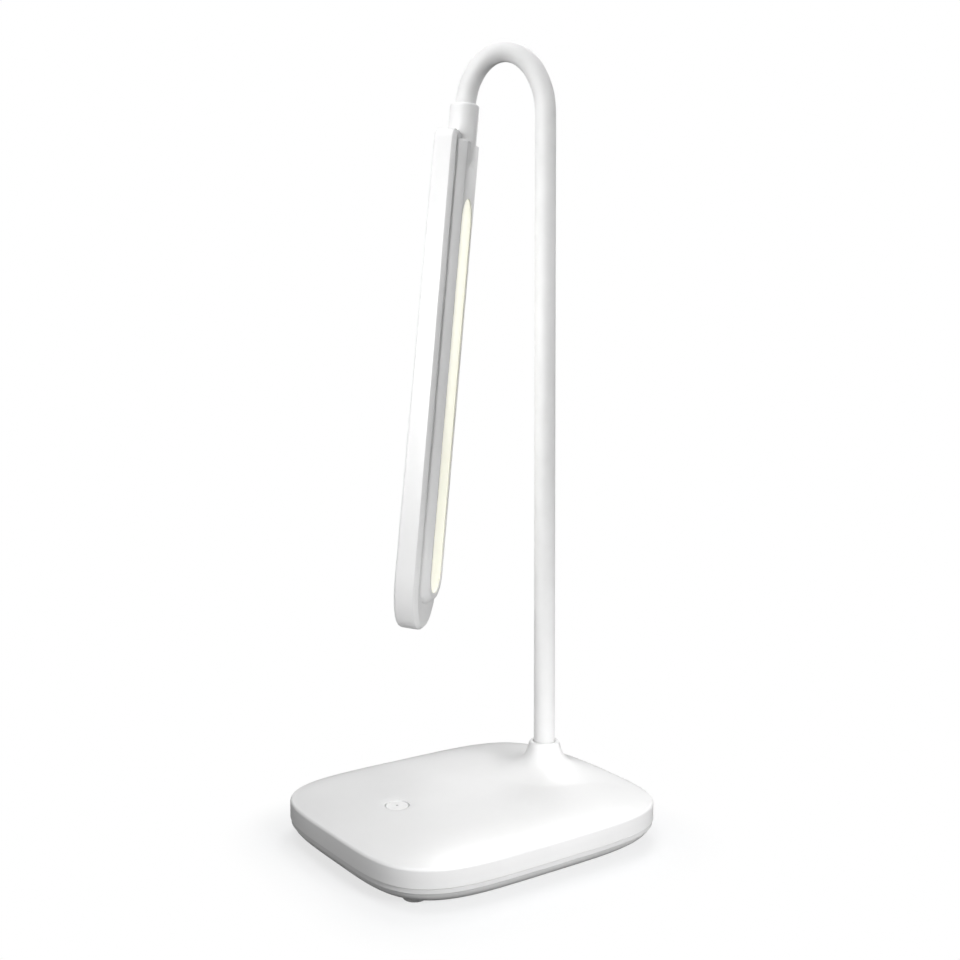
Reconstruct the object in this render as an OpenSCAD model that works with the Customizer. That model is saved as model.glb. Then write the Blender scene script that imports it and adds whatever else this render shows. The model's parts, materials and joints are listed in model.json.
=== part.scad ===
// Folding desk lamp: a weighted base with a push button, an upright post,
// a bendable neck that is folded over in the stored position, and a slim
// light head. Millimetres, +Z up, origin on the table under the base's centre.
// The button is at the front (-Y) and the post at the back (+Y).

/* [Base] */
// Width of the base, left to right
base_w = 139.6; // [125:0.2:160]
// Depth of the base, front to back
base_d = 162.8; // [150:0.2:185]
// Squareness of the base's rounded outline
base_square = 4.3; // [3.4:0.1:5]
// Height of the seam between the two covers
seam_z = 11; // [10.5:0.1:13]
// Height of the top cover's upright side
side_h = 8.8; // [8:0.1:11]
// Rise of the crowned top above its side
crown_h = 5.9; // [5:0.1:7.5]
// Wall of the base covers
base_wall = 2.2; // [1.8:0.1:2.4]
// Height of the feet below the bottom cover
foot_h = 2.2; // [1.6:0.1:2.6]
// Diameter of a foot pad
foot_d = 11; // [9:0.5:12]
// Height of the lip under the seam
lip_h = 1.8; // [1.2:0.1:2.2]
// How far the bottom cover draws in towards the table
under_inset = 8.4; // [8:0.1:11]
// Thickness of the ballast plate
ballast_t = 4; // [3:0.5:4]

/* [Neck boss] */
// Distance of the post from the base's back edge
post_back = 34.1; // [32:0.1:40]
// Height of the boss's rim above the table
boss_top = 40.6; // [37:0.1:44]
// Outer radius of the boss's rim
boss_r = 7.9; // [7.5:0.1:8.5]
// Fullness of the flare that runs into the top
flare_full = 1; // [0.85:0.01:1.1]

/* [Button] */
// Distance of the button from the base's front edge
button_front = 37.4; // [32:0.2:42]
// Diameter of the button
button_d = 11.6; // [10:0.1:14]
// Travel of the button
button_travel = 0.8; // [0.5:0.1:1]
// Gap round the button
button_gap = 0.25; // [0.2:0.05:0.4]
// Diameter of the shallow dish round the button
dish_d = 18; // [16:0.5:20]
// Depth of that dish
dish_depth = 0.7; // [0.4:0.1:0.8]

/* [Neck] */
// Outer diameter of the neck's sleeve
sleeve_d = 11; // [10.6:0.1:11.4]
// Wall of the sleeve on the bendable part
sleeve_wall = 0.8; // [0.7:0.05:0.9]
// Outer diameter of the steel post tube
tube_d = 8; // [7.6:0.1:8.4]
// Wall of the post tube
tube_wall = 0.8; // [0.6:0.1:1]
// Height at which the neck starts to bend
bend_z = 368.8; // [330:0.1:390]
// Turn of the folded neck to the left of the base's front, in degrees
neck_yaw = 52; // [0:1:60]
// Reach of the bend's rising half
rise_reach = 22.8; // [21:0.1:26]
// Height of the bend's rising half
rise_h = 34.6; // [32:0.1:38]
// Reach of the bend's falling half
fall_reach = 21.4; // [20.5:0.1:25]
// Height of the bend's falling half
fall_h = 32.5; // [31:0.1:36]
// Lean of the folded head away from the post, in degrees
head_lean = 5.2; // [3:0.1:8]

/* [Socket] */
// Outer diameter of the neck socket
socket_d = 15.6; // [15:0.1:16.4]
// How far the socket stands out of the head
socket_out = 15; // [13:0.1:18]
// How far the socket reaches into the head
socket_in = 21; // [19:0.5:22]

/* [Head] */
// Length of the head
head_len = 268; // [240:1:300]
// Width of the head
head_w = 36; // [34:0.5:42]
// Depth of the head's side wall at the neck end
side_neck = 10.2; // [9.9:0.1:11]
// Depth of the head's side wall at the free end
side_tip = 11.6; // [11:0.1:13.5]
// Length of the rounded free end
tip_len = 30; // [18:1:34]
// Corner radius at the neck end
neck_corner = 6; // [4:0.5:8]
// Rounding of the back cover's edge
back_round = 2; // [1:0.1:2.4]
// Wall of the head's covers
head_wall = 1.8; // [1.6:0.1:2]
// Rise of the chamfer round the face cover
chamfer_h = 2.1; // [1.6:0.1:2.4]
// Run of that chamfer
chamfer_run = 2.2; // [1.6:0.1:2.6]
// Width of the flat between the chamfer and the raised block
flat_w = 2; // [1.4:0.1:2.6]
// Height of the raised block
block_h = 4.4; // [4.2:0.1:5]
// Run of the raised block's sloped wall
block_run = 3.8; // [3:0.1:4.2]
// Width of the rim round the diffuser
rim_w = 1; // [0.8:0.1:1.4]
// Depth of the diffuser below the rim
rim_t = 0.9; // [0.8:0.1:1.1]
// Distance from the head's neck end to the light opening
light_start = 34.4; // [34:0.1:42]
// Blank length between the light opening and the free end
light_end = 21; // [20:0.1:30]
// Number of LEDs in the row
led_count = 18; // [12:1:24]

/* [Battery and electronics] */
// Length of the battery
battery_l = 46; // [40:1:50]
// Width of the battery
battery_w = 34; // [28:1:38]
// Thickness of the battery
battery_t = 6; // [5:0.5:6.5]
// Width of the charging socket's mouth
jack_w = 9; // [8.5:0.1:9.5]
// Height of the charging socket's mouth
jack_h = 3.2; // [3:0.1:3.6]

/* [Hidden] */
$fn = 48;

// Clearances
seat = 0.1;             // between pieces of one body that sit in each other
sleeve_gap = 0.3;       // between the boss's bore and the sleeve that turns in it
screw_gap = 0.4;        // added to a screw's diameter in the piece that it holds
run = 0.06;             // radial running fit of the neck in its bushing
skin = 0.01;            // thickness of a slice that a hull joins
joint_gap = 0.06;       // between a link's ball and its cup
through = 1;            // how far a cut runs past the face that it opens

// Base
half_w = base_w / 2;
half_d = base_d / 2;
post_y = half_d - post_back;
button_y = half_d - button_front;
rim_z = seam_z + side_h;
plateau_z = rim_z + crown_h;
floor_z = foot_h;
plate_z = floor_z + base_wall;
crown_power = 6;        // how flat the top's middle is
crown_steps = [1, 0.97, 0.92, 0.84, 0.77, 0.7, 0.62, 0.4];
outline_n = 72;         // points round the base
ring_n = 14;            // rings from the boss to the edge
ring_power = 2.2;       // how closely the rings crowd at the boss
flare_axis = 2.5;       // how far inside the rim the flare's curve would run upright
rim_round = 1;          // rounding of the rim's edge
flare_fall = 0.087;     // steady fall of the flare's skirt
foot_in = [26.3, 19.9]; // a foot's distance from the base's side and from its end
foot_pos = [half_w - foot_in[0], half_d - foot_in[1]];
foot_ease = 0.4;        // eased edge of a pad
pad_seat = 0.4;         // depth of a pad's seat in the bottom cover
screw_head_d = 5.6;
screw_head_h = 1.8;
screw_d = 3;
screw_z = floor_z + pad_seat + 0.5;
screw_seat_z = screw_z + screw_head_h;
pillar_z = screw_seat_z + 2;
pillar_d = 9;
core_d = 8;             // the top cover's posts over the pillars
screw_len = 8;
groove = 0.5;           // step between the two covers at the seam
lip_in = 0.7;           // inset of the bottom cover below its lip
under_low = [1.7, 0.55];  // height above the floor and share of the inset, twice
under_mid = [4.4, 0.2];
ballast_gap = 4;        // the ballast plate's distance inside the floor's edge
ballast_room = 1.6;     // added to the pillars' diameter where they pass the plate

// Button and its switch, from the top down
flange_t = 1.4;
flange_w = 1.6;
crown_reach = reach(button_d / 2 + flange_w, button_y + button_d / 2 + flange_w);
dish_r = (pow(dish_d / 2, 2) + pow(dish_depth, 2)) / (2 * dish_depth);
button_proud = 0.1;     // rise of the button above the dish's floor
button_top = crown_z(0, -button_y) - dish_depth + button_proud;
button_under = rim_z - base_wall + crown_h * (1 - pow(crown_reach, crown_power))
    - seat;             // the flange's top, just below the cover
stem_h = 0.4;
lens_d = 1.2;
stem_d = 4;
switch_top = button_under - flange_t - stem_h - button_travel - seat;
switch_size = 6;
switch_h = 3.6;
plunger_d = 3.4;
plunger_h = 0.8;        // how far the plunger stands out of the switch
board_t = 1.2;
board_z = switch_top - switch_h - board_t;
board_size = [34, 26];
board_hole = [13, 9];   // board screw places from the button's axis
board_post_d = 5;
small_screw_d = 2;
small_head_d = 3.8;
small_head_h = 1.2;
small_screw_in = 3;     // how far a small screw goes into its post

// Charging socket
jack_l = 7.4;
jack_z = seam_z + side_h / 2;
jack_gap = 0.6;         // added to the socket's width and height in the wall
jack_back = 0.6;        // depth of the socket's face behind the wall's
jack_metal = 0.35;
jack_shelf = 1.2;
jack_shelf_w = 18;
jack_shelf_l = 10.4;
jack_post_d = 3;
jack_post_x = jack_w / 2 + 2.6;
jack_post_y = jack_l + 3;   // the posts' distance from the base's back edge
jack_board_z = jack_z - jack_h / 2;

// Battery
battery_y = 2;
battery_corner = 2;

// Neck fitting, from the boss down
sleeve_r = sleeve_d / 2;
tube_r = tube_d / 2;
boss_wall_r = 12;
boss_under = 15;
bushing_r = 9;
bushing_top = 23;
flange_r = 11.4;
bushing_flange = 1.4;
ferrule_r = 6;
shoulder_r = 7.8;
shoulder_t = 1.2;
shoulder_z = bushing_top + seat;
washer_t = 0.9;
washer_r = 10.8;
nut_h = 2.6;
nut_r = 9.4;
bushing_z = boss_under - bushing_flange;
washer_z = bushing_z - washer_t - seat;
nut_z = washer_z - nut_h;
lead_d = 2.4;

// Bend: the neck turns through this angle in equal steps
bend_total = 180 - head_lean;
step_n = 8;
step = bend_total / step_n;
top_z = bend_z + rise_h;
ball_r = 2.4;
cup_r = ball_r + joint_gap;
cup_wall = 0.74;
cup_mouth = 0.6;        // the cup's rim, below the ball's centre
link_neck_r = 1.5;
wire_r = 0.7;
wire_start = 0.5;       // how far the wire's bore starts inside the cup
collar_h = 1.5;         // the end plug's collar on the tube
collar_in = 0.5;
sleeve_sides = 24;
sleeve_rings = 30;

// Head, in its own frame: x across, y down its length from the neck's end,
// z towards the light. z = 0 is the neck's axis.
collar_over = 1.8;      // how far the socket's rim stands before the neck's end
head_y0 = socket_out - collar_over;
head_y1 = head_y0 + head_len;
edge_z = 0.2;           // parting line of the two covers
wedge = atan((side_tip - side_neck) / head_len);
head_bottom = side_tip + 2;   // safely below the head's back
flat_z = edge_z + chamfer_h;
face_z = flat_z + block_h;
block_base = chamfer_run + flat_w;
block_top_inset = block_base + block_run;
block_start = 4.8;
block_end = 14.2;
block_y0 = head_y0 + block_start;
block_y1 = head_y1 - block_end;
block_tip = 16;         // length of the block's rounded far end
block_corner = 2;
block_steep = 0.8;      // how far the block's near wall runs against its others
light_y0 = head_y0 + light_start;
light_y1 = head_y1 - light_end;
light_w = head_w - 2 * block_top_inset - 2 * rim_w;
diffuser_t = 1.6;
diffuser_lap = 0.8;
block_wall = 1.4;
room_inset = 2;         // inset of the room behind the block at its foot
room_slope = 0.6;       // share of the block's run that the room follows
tray_h = 7;
tray_wall = 1;
tray_z1 = face_z - rim_t - diffuser_t;
board2_t = 1;
board2_z = tray_z1 - tray_h - board2_t;
board2_over = [5, 3];   // the light board's reach past the opening, across and along
board2_y = [light_y0 - board2_over[1], light_y1 + board2_over[1]];
screw2_out = 3;         // the board screws' distance outside the opening
screw_y = [for (f = [0.08, 0.5, 0.92]) board2_y[0] + (board2_y[1] - board2_y[0]) * f];
led_size = [3.5, 2.8, 0.7];
led_end = 8;            // the first LED's distance from the opening's end
boss2_d = 4.6;
screw2_d = 2;
screw2_head_d = 3.4;
screw2_head_h = 0.9;
screw2_in = 3.3;        // how far a head screw goes into its boss
screw2_core = 0.2;      // room under a head screw's end
socket_len = socket_out + socket_in;
socket_ease = 1.6;
socket_slope = 8;
slope_turn = 13;
plug_r = 3.6;
plug_len = 16;
plug_neck = 1;          // how much wider the plug's neck is than a link's
sleeve_in = 6;
lead_hole_r = 1.6;
ear_x = 10.6;
ear_root_x = 5;
ear_d = 5.6;
ear_back = 14;
ear_y = head_y0 + ear_back;
ear_t = 2;
ear_z = -3;
cradle_back = 8;        // the cradle's distance before the ears
cradle_t = 2;
cradle_depth = 3;       // depth of the cradle's top below the parting line

white = [0.95, 0.95, 0.95];
silk = [0.9, 0.9, 0.9];
rubber = [0.6, 0.6, 0.6];
steel = [0.72, 0.72, 0.74];
brass = [0.78, 0.68, 0.42];
board = [0.15, 0.4, 0.25];
cream = [1, 0.98, 0.88];

// ---------- functions ----------

// How far out a point lies: 0 at the base's centre, 1 on its outline
function reach(x, y, a = half_w, b = half_d) =
    pow(pow(abs(x) / a, base_square) + pow(abs(y) / b, base_square), 1 / base_square);

// Height of the crowned top, without the flare
function crown_z(x, y) = rim_z + crown_h * (1 - pow(min(1, reach(x, y)), crown_power));

// The base's outline, drawn in by an inset, with n points
function outline(inset = 0, n = outline_n) = [for (i = [0:n - 1])
    let (t = 360 * i / n, r = reach(cos(t), sin(t), half_w - inset, half_d - inset))
    [cos(t) / r, sin(t) / r]];

// Height of the flare at a distance from the post's axis
function flare_z(r) = plateau_z + (boss_top - plateau_z) * flare_axis / (r - boss_r + flare_axis)
    * flare_full - flare_fall * (r - boss_r);

// Height of the top with the flare, at fraction f of the way from the rim to the edge
function top_surface(x, y, r, f) = f == 0 ? boss_top - rim_round
    : crown_z(x, y) + max(0, flare_z(r) - crown_z(x, y)) * (1 - pow(f, 3));

// One ring of the top, from the boss's rim (f = 0) to the base's edge (f = 1)
function top_ring(f) = [for (q = outline())
    let (dx = q[0], dy = q[1] - post_y, far = norm([dx, dy]), r = boss_r + (far - boss_r) * f,
        x = dx / far * r, y = post_y + dy / far * r)
    [x, y, top_surface(x, y, r, f)]];

// A ring on the rounded edge of the boss's rim, a degrees up its rounding
function rim_ring(a) = [for (q = outline()) let (dx = q[0], dy = q[1] - post_y,
        r = boss_r - rim_round * (1 - cos(a)), d = norm([dx, dy]))
    [dx / d * r, post_y + dy / d * r, boss_top - rim_round * (1 - sin(a))]];

// Points of the bend's centre line and its joints, as [distance from the post, height]
function bend_point(t) = t <= 90
    ? let (q = sqrt(pow(rise_reach * cos(t), 2) + pow(rise_h * sin(t), 2)))
        [rise_reach - pow(rise_reach, 2) * cos(t) / q, bend_z + pow(rise_h, 2) * sin(t) / q]
    : let (q = sqrt(pow(fall_reach * cos(t), 2) + pow(fall_h * sin(t), 2)))
        [rise_reach - pow(fall_reach, 2) * cos(t) / q,
            top_z - fall_h + pow(fall_h, 2) * sin(t) / q];
function bend_dir(t) = [sin(t), cos(t)];
function cross2(a, b) = a[0] * b[1] - a[1] * b[0];

// Joint i lies where the centre line's tangents at steps i - 1 and i meet
function joint_at(i) = let (p = bend_point((i - 1) * step), q = bend_point(i * step),
    a = bend_dir((i - 1) * step), b = bend_dir(i * step))
    p + a * cross2(q - p, b) / cross2(a, b);
function link_len(i) = norm(joint_at(i + 1) - joint_at(i));

neck_end = bend_point(bend_total);
plug_joint = norm(joint_at(step_n) - neck_end);

// A ring of the sleeve square to the centre line at angle t, as points in the neck's frame
function sleeve_ring(t, r, slide = 0) = let (c = bend_point(t) + bend_dir(t) * slide)
    [for (i = [0:sleeve_sides - 1]) let (a = 360 * i / sleeve_sides, u = r * cos(a))
        [r * sin(a), -c[0] + u * cos(t), c[1] + u * sin(t)]];

// Outline of the head or its block: x half-width w, from y0 to y1, with a rounded far end
function head_outline(inset = 0, w = head_w / 2, y0 = head_y0, y1 = head_y1, tip = tip_len,
        corner = neck_corner) =
    let (hw = w - inset, t = max(4, tip - inset), c = max(0.8, corner - inset), e = 2.1)
    concat(
        [for (a = [0:10:180]) [sign(cos(a)) * hw * pow(abs(cos(a)), 2 / e),
            y1 - inset - t + t * pow(abs(sin(a)), 2 / e)]],
        [for (a = [180:18:270]) [-hw + c + c * cos(a), y0 + inset + c + c * sin(a)]],
        [for (a = [270:18:360]) [hw - c + c * cos(a), y0 + inset + c + c * sin(a)]]);

// ---------- shapes ----------

// A closed skin through rings of equally many points
module loft(rings) {
    n = len(rings[0]);
    m = len(rings);
    polyhedron(
        points = [for (r = rings) each r],
        faces = concat(
            [[for (i = [n - 1:-1:0]) i]],
            [for (j = [0:m - 2], i = [0:n - 1]) let (k = (i + 1) % n)
                each [[j * n + i, j * n + k, (j + 1) * n + k],
                    [j * n + i, (j + 1) * n + k, (j + 1) * n + i]]],
            [[for (i = [0:n - 1]) (m - 1) * n + i]]),
        convexity = 6);
}

// A tube: an outer skin and an inner one, joined at both ends
module tube_loft(rings) {
    n = len(rings[0]);
    m = len(rings);
    polyhedron(
        points = [for (r = rings) each r],
        faces = [for (j = [0:m - 1], i = [0:n - 1]) let (k = (i + 1) % n, l = (j + 1) % m)
            each [[j * n + i, j * n + k, l * n + k], [j * n + i, l * n + k, l * n + i]]],
        convexity = 6);
}

// A thin slice of the base's outline, drawn in by an inset, for a hull to join
module slice(inset, z, n = outline_n) {
    translate([0, 0, z]) linear_extrude(skin) polygon(outline(inset, n));
}

// The hollow under the top: straight up to the rim, then crowned as the top is
module hollow(bottom) {
    edge = outline(base_wall, 48);
    translate([0, 0, bottom]) linear_extrude(rim_z - base_wall - bottom) polygon(edge);
    hull() for (k = crown_steps)
        translate([0, 0, rim_z - base_wall + crown_h * (1 - pow(k, crown_power))])
            linear_extrude(skin) polygon(edge * k);
}

module at_feet() {
    for (x = [-1, 1], y = [-1, 1]) translate([x * foot_pos[0], y * foot_pos[1], 0]) children();
}

module at_board_holes() {
    for (x = [-1, 1], y = [-1, 1])
        translate([x * board_hole[0], -button_y + y * board_hole[1], 0]) children();
}

module at_jack_posts() {
    for (s = [-1, 1]) translate([s * jack_post_x, half_d - jack_post_y, jack_board_z]) children();
}

module ring(r_out, r_in, z0, z1) {
    translate([0, 0, z0]) difference() {
        cylinder(r = r_out, h = z1 - z0);
        translate([0, 0, -through]) cylinder(r = r_in, h = z1 - z0 + 2 * through);
    }
}

// Post frame: the post's axis, turned so that the neck folds towards -Y
module at_post() {
    translate([0, post_y, 0]) rotate([0, 0, -neck_yaw]) children();
}

// A link's frame: its joint at the origin, its length along +Z
module at_joint(i) {
    at_post() translate([0, -joint_at(i)[0], joint_at(i)[1]]) rotate([i * step, 0, 0]) children();
}

// The head's frame
module at_head() {
    at_post() translate([0, -neck_end[0], neck_end[1]])
        rotate([-head_lean, 0, 0]) rotate([-90, 0, 0]) children();
}

// ---------- base ----------

module base_top_cover() {
    color(white) difference() {
        union() {
            difference() {
                loft(concat([for (a = [90, 60, 30]) rim_ring(a)],
                    [for (j = [0:ring_n]) top_ring(pow(j / ring_n, ring_power))],
                    [[for (q = outline()) [q[0], q[1], seam_z]]]));
                hollow(seam_z - through);
            }
            translate([0, post_y, boss_under]) cylinder(r = boss_wall_r, h = plateau_z - boss_under);
            at_feet() translate([0, 0, pillar_z + seat])
                cylinder(d = core_d, h = rim_z + base_wall - pillar_z);
            at_board_holes() translate([0, 0, board_z + board_t])
                cylinder(d = board_post_d, h = plateau_z - base_wall - board_z);
            at_jack_posts() cylinder(d = jack_post_d, h = rim_z + base_wall - jack_board_z);
        }
        // dish, button hole
        translate([0, -button_y, crown_z(0, -button_y) - dish_depth + dish_r])
            sphere(r = dish_r, $fn = 96);
        translate([0, -button_y, rim_z - base_wall])
            cylinder(d = button_d + 2 * button_gap, h = 2 * crown_h + base_wall);
        // neck
        translate([0, post_y, boss_under - through])
            cylinder(r = bushing_r, h = shoulder_z + shoulder_t + sleeve_gap - boss_under + through);
        translate([0, post_y, boss_under]) cylinder(r = sleeve_r + sleeve_gap, h = boss_top);
        // screw cores
        at_feet() translate([0, 0, pillar_z - through]) cylinder(d = screw_d, h = screw_len);
        at_board_holes() translate([0, 0, board_z])
            cylinder(d = small_screw_d, h = board_t + small_screw_in + through);
        // mouth of the charging socket
        translate([0, half_d, jack_z])
            jack_mouth(jack_w + jack_gap, jack_h + jack_gap, 2 * (base_wall + jack_gap));
    }
}

// A rounded slot through the back wall, centred on the socket
module jack_mouth(w, h, depth) {
    rotate([90, 0, 0]) translate([0, 0, -depth / 2]) linear_extrude(depth) {
        square([w - h, h], center = true);
        for (s = [-1, 1]) translate([s * (w - h) / 2, 0]) circle(d = h);
    }
}

module base_bottom_cover() {
    color(silk) difference() {
        union() {
            difference() {
                hull() {
                    slice(groove, seam_z - skin);
                    slice(lip_in, seam_z - lip_h);
                    slice(under_inset * under_mid[1], floor_z + under_mid[0]);
                    slice(under_inset * under_low[1], floor_z + under_low[0]);
                    slice(under_inset, floor_z);
                }
                hull() {
                    slice(base_wall + groove, seam_z + through, 48);
                    slice(base_wall + lip_in, seam_z - lip_h, 48);
                    slice(under_inset * under_mid[1] + base_wall, floor_z + under_mid[0], 48);
                    slice(under_inset + groove, plate_z, 48);
                }
            }
            at_feet() translate([0, 0, floor_z]) cylinder(d = pillar_d, h = pillar_z - floor_z);
        }
        at_feet() {
            translate([0, 0, floor_z - through])
                cylinder(d = foot_d + 2 * seat, h = pad_seat + through);
            translate([0, 0, floor_z]) cylinder(d = screw_head_d + screw_gap, h = screw_seat_z - floor_z);
            translate([0, 0, floor_z]) cylinder(d = screw_d + screw_gap, h = pillar_z);
        }
    }
}

module foot_pads() {
    color(rubber) at_feet() {
        cylinder(d1 = foot_d - 2 * foot_ease, d2 = foot_d, h = foot_ease);
        translate([0, 0, foot_ease]) cylinder(d = foot_d, h = foot_h + pad_seat - foot_ease);
    }
}

module base_screws() {
    color(steel) at_feet() {
        translate([0, 0, screw_z]) cylinder(d = screw_head_d, h = screw_head_h);
        translate([0, 0, screw_z]) cylinder(d = screw_d, h = screw_head_h + screw_len);
    }
}

module ballast_plate() {
    color(steel) difference() {
        translate([0, 0, plate_z]) linear_extrude(ballast_t) polygon(outline(under_inset + ballast_gap));
        at_feet() translate([0, 0, floor_z]) cylinder(d = pillar_d + ballast_room, h = pillar_z);
    }
}

module battery() {
    corner = [battery_w / 2 - battery_corner, battery_l / 2 - battery_corner];
    color("lightsteelblue") translate([0, battery_y, plate_z + ballast_t]) hull()
        for (x = [-1, 1], y = [-1, 1]) translate([x * corner[0], y * corner[1], 0])
            cylinder(r = battery_corner, h = battery_t, $fn = 24);
}

module control_board() {
    color(board) difference() {
        translate([-board_size[0] / 2, -button_y - board_size[1] / 2, board_z])
            cube([board_size[0], board_size[1], board_t]);
        at_board_holes() translate([0, 0, board_z - through])
            cylinder(d = small_screw_d + screw_gap, h = board_t + 2 * through);
    }
}

module board_screws() {
    color(steel) at_board_holes() {
        translate([0, 0, board_z - small_head_h]) cylinder(d = small_head_d, h = small_head_h);
        translate([0, 0, board_z - small_head_h])
            cylinder(d = small_screw_d, h = small_head_h + board_t + small_screw_in);
    }
}

module push_switch() {
    color("dimgray") translate([0, -button_y, board_z + board_t]) {
        translate([-switch_size / 2, -switch_size / 2, 0])
            cube([switch_size, switch_size, switch_h - plunger_h]);
        cylinder(d = plunger_d, h = switch_h);
    }
}

module charging_socket() {
    back = half_d - jack_back;
    color(steel) difference() {
        translate([0, back - jack_l / 2, jack_z]) jack_mouth(jack_w, jack_h, jack_l);
        translate([0, back - jack_l / 2 + through, jack_z])
            jack_mouth(jack_w - 2 * jack_metal, jack_h - 2 * jack_metal, jack_l);
    }
    color(board) translate([-jack_shelf_w / 2, back - base_wall - seat - jack_shelf_l,
            jack_board_z - jack_shelf])
        cube([jack_shelf_w, jack_shelf_l, jack_shelf]);
}

// ---------- button ----------

module power_button() {
    color(white) translate([0, -button_y, 0]) difference() {
        union() {
            translate([0, 0, button_under]) cylinder(d = button_d, h = button_top - button_under);
            translate([0, 0, button_under - flange_t])
                cylinder(d = button_d + 2 * flange_w, h = flange_t);
            translate([0, 0, button_under - flange_t - stem_h]) cylinder(d = stem_d, h = stem_h + seat);
        }
        translate([0, 0, button_under]) cylinder(d = lens_d, h = button_top);
    }
}

module button_lens() {
    color(rubber) translate([0, -button_y, button_under]) cylinder(d = lens_d, h = button_top - button_under);
}

// ---------- neck fitting and post ----------

module neck_bushing() {
    color(brass) translate([0, post_y, 0]) {
        ring(bushing_r, ferrule_r + run, boss_under, bushing_top);
        ring(flange_r, ferrule_r + run, bushing_z, boss_under);
    }
}

module neck_ferrule() {
    color(steel) translate([0, post_y, 0]) {
        ring(ferrule_r, tube_r, nut_z, shoulder_z + shoulder_t);
        ring(shoulder_r, tube_r, shoulder_z, shoulder_z + shoulder_t);
    }
}

module neck_washer() {
    color(steel) translate([0, post_y, 0]) ring(washer_r, ferrule_r, washer_z, washer_z + washer_t);
}

module neck_nut() {
    color(steel) translate([0, post_y, nut_z]) difference() {
        cylinder(r = nut_r, h = nut_h, $fn = 6);
        translate([0, 0, -through]) cylinder(r = ferrule_r, h = nut_h + 2 * through);
    }
}

module post_tube() {
    color(steel) at_post() ring(tube_r, tube_r - tube_wall, nut_z, bend_z);
}

module post_sleeve() {
    color(white) at_post() ring(sleeve_r, tube_r, shoulder_z + shoulder_t, bend_z);
}

module post_lead() {
    color("gray") at_post() translate([0, 0, nut_z]) cylinder(d = lead_d, h = bend_z - plug_len - nut_z);
}

// ---------- bendable neck ----------

// A ball on a thin neck, its centre at height z, standing on a base at height z0
module ball_end(z0, z) {
    translate([0, 0, z]) sphere(r = ball_r);
    translate([0, 0, z0]) cylinder(r = link_neck_r, h = z - z0);
}

// A cup that takes the ball of the link before it
module cup() {
    difference() {
        sphere(r = cup_r + cup_wall);
        sphere(r = cup_r);
        translate([0, 0, -cup_mouth - 2 * cup_r]) cylinder(r = 2 * cup_r, h = 2 * cup_r);
    }
}

module neck_link(i) {
    color(steel) at_joint(i) difference() {
        union() {
            cup();
            ball_end(cup_r + cup_wall / 2, link_len(i));
        }
        translate([0, 0, cup_r - wire_start]) cylinder(r = wire_r, h = link_len(i) + ball_r);
    }
}

module post_end_plug() {
    color(steel) at_post() {
        translate([0, 0, bend_z - plug_len]) cylinder(r = tube_r - tube_wall, h = plug_len);
        translate([0, 0, bend_z]) cylinder(r = tube_r - collar_in, h = collar_h);
        ball_end(bend_z, joint_at(1)[1]);
    }
}

module arch_sleeve() {
    steps = [for (j = [0:sleeve_rings]) bend_total * j / sleeve_rings];
    outer = concat([for (t = steps) sleeve_ring(t, sleeve_r)],
        [sleeve_ring(bend_total, sleeve_r, sleeve_in)]);
    inner = concat([sleeve_ring(bend_total, sleeve_r - sleeve_wall, sleeve_in)],
        [for (j = [sleeve_rings:-1:0]) sleeve_ring(steps[j], sleeve_r - sleeve_wall)]);
    color(white) at_post() tube_loft(concat(outer, inner));
}

// ---------- head ----------

module along_head(y, r, h) {
    translate([0, y, 0]) rotate([-90, 0, 0]) cylinder(r = r, h = h);
}

module socket_plug() {
    color(steel) at_head() {
        rotate([-90, 0, 0]) translate([0, 0, -plug_joint]) difference() {
            union() {
                cup();
                translate([0, 0, cup_r + cup_wall / 2])
                    cylinder(r = link_neck_r + plug_neck, h = plug_joint + sleeve_in - cup_r);
            }
            translate([0, 0, cup_r - wire_start]) cylinder(r = wire_r, h = plug_joint + plug_len);
        }
        difference() {
            along_head(sleeve_in + 2 * seat, plug_r, plug_len - sleeve_in);
            along_head(0, wire_r, plug_len + sleeve_in);
        }
    }
}

// The socket's outer form: a round collar with an eased edge at the neck, and an end
// that slopes down where it shows on the face
module socket_form(gap) {
    r = socket_d / 2 + gap;
    start = head_y0 - socket_out;
    difference() {
        rotate([-90, 0, 0]) rotate_extrude()
            polygon(concat([[0, start]],
                [for (a = [90:-15:0])
                    [r - socket_ease * (1 - cos(a)), start + socket_ease * (1 - sin(a))]],
                [[r, start + socket_len + gap], [0, start + socket_len + gap]]));
        translate([-2 * r, head_y0 + socket_in - socket_slope, r]) rotate([-slope_turn, 0, 0])
            cube([4 * r, socket_len, socket_len]);
    }
}

module at_ears() {
    for (s = [-1, 1]) translate([s * ear_x, ear_y, ear_z]) children();
}

module socket_ears() {
    for (s = [-1, 1]) hull() {
        translate([s * ear_x, ear_y, ear_z]) cylinder(d = ear_d, h = ear_t);
        translate([s * ear_root_x, ear_y, ear_z]) cylinder(d = ear_d, h = ear_t);
    }
}

module neck_socket() {
    color(white) at_head() difference() {
        union() {
            socket_form(0);
            socket_ears();
        }
        along_head(-socket_len, sleeve_r + seat, socket_len + sleeve_in + seat);
        along_head(0, plug_r, plug_len + 2 * seat);
        along_head(0, lead_hole_r, 2 * socket_len);
        at_ears() translate([0, 0, -through]) cylinder(d = screw2_d + screw_gap, h = ear_t + 2 * through);
    }
}

module socket_screws() {
    color(steel) at_head() at_ears() {
        translate([0, 0, -screw2_in]) cylinder(d = screw2_d, h = screw2_in + ear_t + screw2_head_h);
        translate([0, 0, ear_t]) cylinder(d = screw2_head_d, h = screw2_head_h);
    }
}

// A slice of the back cover parallel to its back, lift above it
module back_slice(inset, lift, wall = 0) {
    translate([0, head_y0, edge_z - side_neck + lift]) rotate([-wedge, 0, 0])
        translate([0, -head_y0, 0]) linear_extrude(skin) polygon(head_outline(inset + wall));
}

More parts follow.
